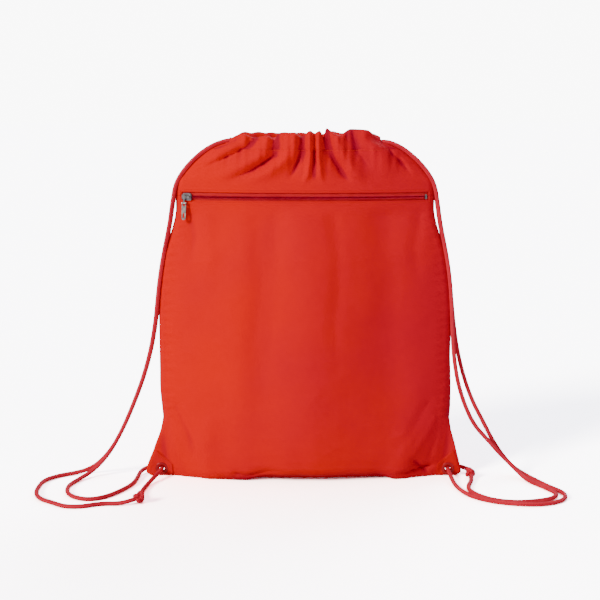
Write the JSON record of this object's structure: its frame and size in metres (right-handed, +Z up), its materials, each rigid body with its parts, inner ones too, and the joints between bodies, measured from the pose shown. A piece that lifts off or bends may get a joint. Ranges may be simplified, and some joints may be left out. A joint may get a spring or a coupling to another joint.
{
  "type": "drawstring backpack",
  "caption": "Cloth drawstring backpack standing stuffed: gathered hem, zip pocket across the front and knotted cords through corner eyelets.",
  "frame": {"origin": "middle of the standing sack's base, on the surface that it stands on", "axes": "+Z up, +X to the right seen from the front, -Y out of the front face with the zip"},
  "size_m": [0.627, 0.1838, 0.421],
  "materials": {
    "bag_cloth": "plain-woven polyester, slight sheen",
    "lining_cloth": "plain-woven polyester, matt inside face",
    "patch_cloth": "doubled woven patch, stitched round its edge",
    "zip_tape": "woven twill tape",
    "zip_coil": "nylon coil",
    "zip_metal": "nickel-plated, lightly worn",
    "eyelet_lacquer": "red lacquered pressed metal",
    "cord": "braided polyester cord"
  },
  "bodies": {
    "bag": {"back_panel": "bag_cloth", "pocket_front": "bag_cloth", "front_panel_upper": "bag_cloth", "pocket_lining": "lining_cloth", "hem_channel_front": "bag_cloth", "hem_channel_back": "bag_cloth", "bottom_seam": "lining_cloth", "side_seam_left": "lining_cloth", "side_seam_right": "lining_cloth", "corner_patch_left": "patch_cloth", "corner_patch_right": "patch_cloth", "eyelet_left": "eyelet_lacquer", "eyelet_right": "eyelet_lacquer", "eyelet_washer_left": "eyelet_lacquer", "eyelet_washer_right": "eyelet_lacquer", "zip_tape_upper": "zip_tape", "zip_tape_lower": "zip_tape", "zip_teeth_upper": "zip_coil", "zip_teeth_lower": "zip_coil", "zip_stop_left": "zip_metal", "zip_stop_right": "zip_metal", "drawcord_left": "cord", "drawcord_right": "cord", "knot_left": "cord", "knot_right": "cord"},
    "slider": {"zip_slider_body": "zip_metal", "zip_slider_crown": "zip_metal"},
    "pull_link": {"zip_pull_link": "zip_metal"},
    "pull": {"zip_pull": "zip_metal"}
  },
  "joints": [
    {"name": "zip_travel", "type": "hinge", "parent": "bag", "child": "slider", "pos_m": [0, 0.4305, 0.346], "axis": [0, 0, 1], "range_deg": [0, 34.77]},
    {"name": "pull_swing", "type": "hinge", "parent": "slider", "child": "pull_link", "pos_m": [-0.14393, -0.01346, 0.346], "axis": [-0.3019, -0.9533, 0], "range_deg": [-80, 35]},
    {"name": "pull_lift", "type": "hinge", "parent": "pull_link", "child": "pull", "pos_m": [-0.14393, -0.01346, 0.3384], "axis": [-0.9533, 0.3019, 0], "range_deg": [0, 135]}
  ]
}
